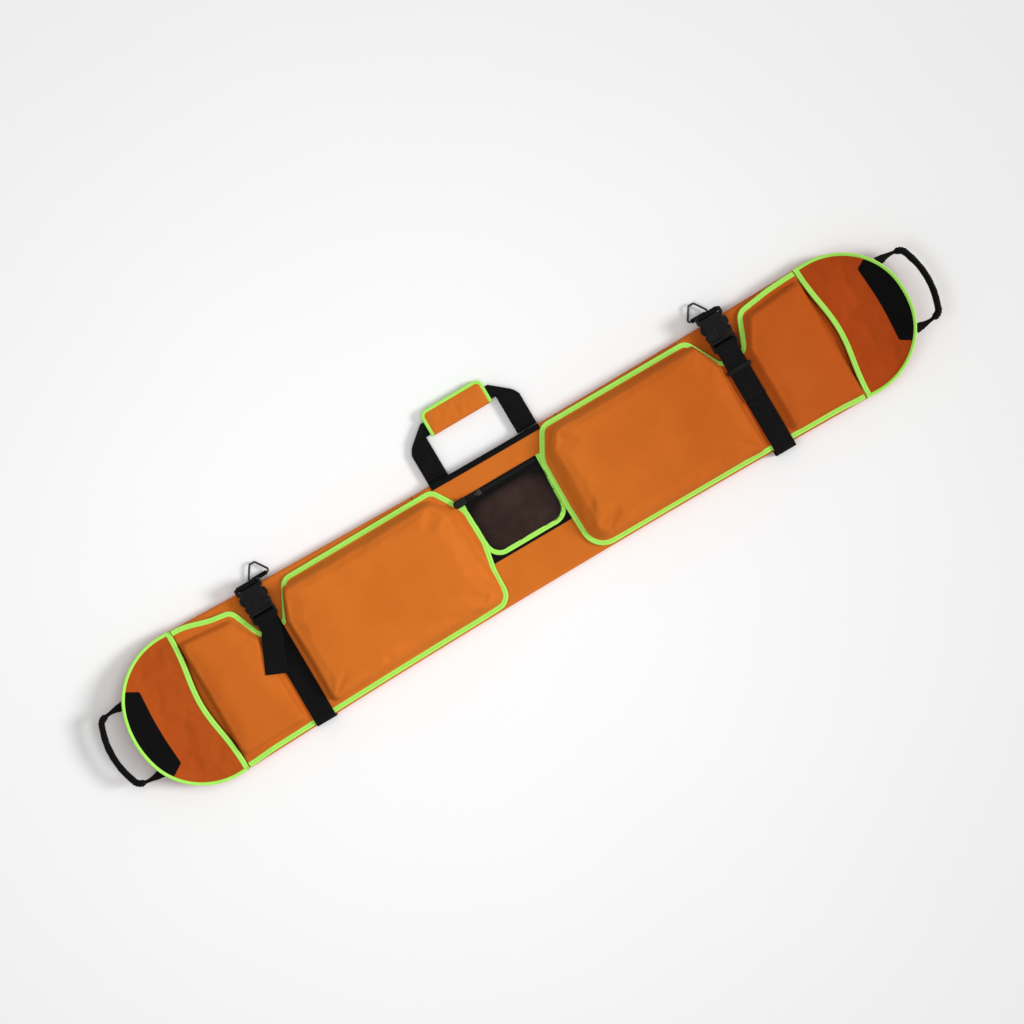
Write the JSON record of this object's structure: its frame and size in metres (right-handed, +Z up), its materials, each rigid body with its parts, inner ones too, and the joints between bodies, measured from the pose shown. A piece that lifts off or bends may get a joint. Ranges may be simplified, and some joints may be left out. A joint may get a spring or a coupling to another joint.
{
  "type": "snowboard sleeve",
  "caption": "Padded sleeve for a snowboard with two hinged flaps over the bindings, end pockets, cross straps with buckles, a mesh pocket and handles.",
  "frame": {"origin": "middle of the flat underside, on the ground", "axes": "+X from the nose to the tail along the sleeve, +Y towards the side with the carry handle, +Z up out of the flap side"},
  "size_m": [1.7138, 0.401, 0.067],
  "materials": {
    "neoprene": "fine weave, matt",
    "foam": "closed-cell foam",
    "board": "stiff sheet",
    "binding": "folded tape",
    "webbing": "ribbed webbing",
    "backing": "plain weave",
    "mesh": "open net",
    "patch": "coated cloth",
    "buckle": "satin moulded",
    "ring": "black coated wire",
    "zip_teeth": "moulded",
    "zip_metal": "black coated",
    "pull": "moulded",
    "tube": "ribbed sleeve",
    "touch": "hook and loop"
  },
  "bodies": {
    "sleeve": {"base_shell": "neoprene", "base_padding": "foam", "inner_board": "board", "centre_band": "neoprene", "nose_wrap": "neoprene", "tail_wrap": "neoprene", "nose_pocket": "neoprene", "tail_pocket": "neoprene", "nose_mouth_binding": "binding", "tail_mouth_binding": "binding", "nose_edge_binding": "binding", "tail_edge_binding": "binding", "nose_patch": "patch", "tail_patch": "patch", "pocket_backing": "backing", "pocket_mesh": "mesh", "pocket_binding": "binding", "zip_tape": "webbing", "zip_teeth": "zip_teeth", "handle_base_strip": "webbing", "nose_under_strap": "webbing", "tail_under_strap": "webbing", "nose_socket": "buckle", "tail_socket": "buckle", "nose_ring_tab": "webbing", "tail_ring_tab": "webbing", "nose_loop_strip": "touch", "tail_loop_strip": "touch"},
    "nose_flap": {"nose_flap": "neoprene", "nose_flap_binding": "binding", "nose_hook_strip": "touch", "nose_strap": "webbing"},
    "nose_plug": {"nose_plug_frame": "buckle", "nose_strap_loop": "webbing"},
    "nose_left_arm": {"nose_left_arm": "buckle"},
    "nose_right_arm": {"nose_right_arm": "buckle"},
    "nose_ring": {"nose_ring": "ring"},
    "nose_end_handle": {"nose_end_handle": "webbing", "nose_end_grip": "tube"},
    "tail_flap": {"tail_flap": "neoprene", "tail_flap_binding": "binding", "tail_hook_strip": "touch", "tail_strap": "webbing"},
    "tail_plug": {"tail_plug_frame": "buckle", "tail_strap_end": "webbing", "tail_keeper": "buckle"},
    "tail_left_arm": {"tail_left_arm": "buckle"},
    "tail_right_arm": {"tail_right_arm": "buckle"},
    "tail_ring": {"tail_ring": "ring"},
    "tail_end_handle": {"tail_end_handle": "webbing", "tail_end_grip": "tube"},
    "nose_strap_end": {"nose_strap_end": "webbing"},
    "zip_slider": {"zip_slider": "zip_metal"},
    "zip_pull": {"zip_pull": "pull"},
    "carry_handle": {"handle_webbing": "webbing", "grip_back": "neoprene", "grip_back_binding": "binding"},
    "grip_front": {"grip_front": "neoprene", "grip_front_binding": "binding"}
  },
  "joints": [
    {"name": "nose_flap_hinge", "type": "hinge", "parent": "sleeve", "child": "nose_flap", "pos_m": [0, -0.146, 0.024], "axis": [1, 0, 0], "range_deg": [0, 160]},
    {"name": "nose_buckle_release", "type": "slide", "parent": "nose_flap", "child": "nose_plug", "axis": [0, -1, 0], "range_m": [0, 0.036], "deforming": ["nose_left_arm", "nose_right_arm"]},
    {"name": "nose_left_arm_squeeze", "type": "hinge", "parent": "nose_plug", "child": "nose_left_arm", "pos_m": [-0.501, 0.0953, 0.038], "axis": [0, 0, -1], "range_deg": [0, 11], "stiffness_Nm_per_rad": 0.05},
    {"name": "nose_right_arm_squeeze", "type": "hinge", "parent": "nose_plug", "child": "nose_right_arm", "pos_m": [-0.471, 0.0953, 0.038], "axis": [0, 0, 1], "range_deg": [0, 11], "stiffness_Nm_per_rad": 0.05},
    {"name": "nose_ring_swing", "type": "hinge", "parent": "sleeve", "child": "nose_ring", "pos_m": [-0.461, 0.14733, 0.009], "axis": [1, 0, 0], "range_deg": [-90, 60]},
    {"name": "nose_end_handle_swing", "type": "hinge", "parent": "sleeve", "child": "nose_end_handle", "pos_m": [-0.794, 0, 0.041], "axis": [0, 1, 0], "range_deg": [-60, 80]},
    {"name": "tail_flap_hinge", "type": "hinge", "parent": "sleeve", "child": "tail_flap", "pos_m": [0, -0.146, 0.024], "axis": [1, 0, 0], "range_deg": [0, 160]},
    {"name": "tail_buckle_release", "type": "slide", "parent": "tail_flap", "child": "tail_plug", "axis": [0, -1, 0], "range_m": [0, 0.036], "deforming": ["tail_left_arm", "tail_right_arm"]},
    {"name": "tail_left_arm_squeeze", "type": "hinge", "parent": "tail_plug", "child": "tail_left_arm", "pos_m": [0.461, 0.0953, 0.038], "axis": [0, 0, -1], "range_deg": [0, 11], "stiffness_Nm_per_rad": 0.05},
    {"name": "tail_right_arm_squeeze", "type": "hinge", "parent": "tail_plug", "child": "tail_right_arm", "pos_m": [0.491, 0.0953, 0.038], "axis": [0, 0, 1], "range_deg": [0, 11], "stiffness_Nm_per_rad": 0.05},
    {"name": "tail_ring_swing", "type": "hinge", "parent": "sleeve", "child": "tail_ring", "pos_m": [0.462, 0.14733, 0.009], "axis": [1, 0, 0], "range_deg": [-90, 60]},
    {"name": "tail_end_handle_swing", "type": "hinge", "parent": "sleeve", "child": "tail_end_handle", "pos_m": [0.794, 0, 0.041], "axis": [0, -1, 0], "range_deg": [-60, 80]},
    {"name": "nose_strap_end_lift", "type": "hinge", "parent": "nose_plug", "child": "nose_strap_end", "pos_m": [-0.486, 0.0576, 0.0372], "axis": [-1, 0, 0], "range_deg": [0, 70]},
    {"name": "zip_travel", "type": "slide", "parent": "sleeve", "child": "zip_slider", "axis": [1, 0, 0], "range_m": [0, 0.1]},
    {"name": "zip_pull_lift", "type": "hinge", "parent": "zip_slider", "child": "zip_pull", "pos_m": [-0.046, 0.076, 0.0286], "axis": [0, 1, 0], "range_deg": [0, 150], "deforming": ["zip_pull"]},
    {"name": "carry_handle_swing", "type": "hinge", "parent": "sleeve", "child": "carry_handle", "pos_m": [0, 0.1334, 0.0105], "axis": [1, 0, 0], "range_deg": [-80, 90]},
    {"name": "grip_wrap_open", "type": "hinge", "parent": "carry_handle", "child": "grip_front", "pos_m": [0, 0.206, 0.0116], "axis": [1, 0, 0], "range_deg": [0, 165]}
  ]
}
